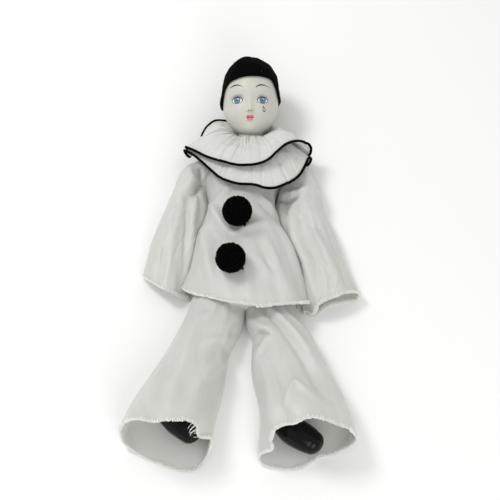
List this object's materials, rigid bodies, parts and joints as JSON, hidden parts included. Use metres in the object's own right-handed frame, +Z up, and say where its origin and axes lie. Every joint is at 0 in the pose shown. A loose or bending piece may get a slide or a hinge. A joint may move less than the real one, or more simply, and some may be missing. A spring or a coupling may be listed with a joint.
{
  "type": "pierrot doll",
  "caption": "Soft-bodied pierrot doll lying on its back: bisque head in a black cap, piped ruffle collar, white tunic with yarn pompoms, flared trousers and glazed shoes.",
  "frame": {"origin": "centre of the figure's footprint, on the surface it lies on", "axes": "+Y from the feet towards the crown, +X towards the doll's left hand, +Z up from its back to its front"},
  "size_m": [0.22, 0.4224, 0.0725],
  "materials": {
    "bisque": "pale unglazed bisque porcelain, hand painted",
    "black_velour": "short-pile black velour",
    "white_satin": "soft white polyester satin",
    "black_piping": "narrow black bound edge",
    "black_yarn": "cut black yarn",
    "black_glaze": "high-gloss black glaze"
  },
  "bodies": {
    "root": {"head": "bisque", "skull_cap": "black_velour", "upper_ruffle": "white_satin", "upper_ruffle_piping": "black_piping", "lower_ruffle": "white_satin", "lower_ruffle_piping": "black_piping", "tunic": "white_satin", "upper_pompom": "black_yarn", "lower_pompom": "black_yarn", "trousers": "white_satin", "right_foot": "black_glaze", "left_foot": "black_glaze"}
  },
  "joints": []
}
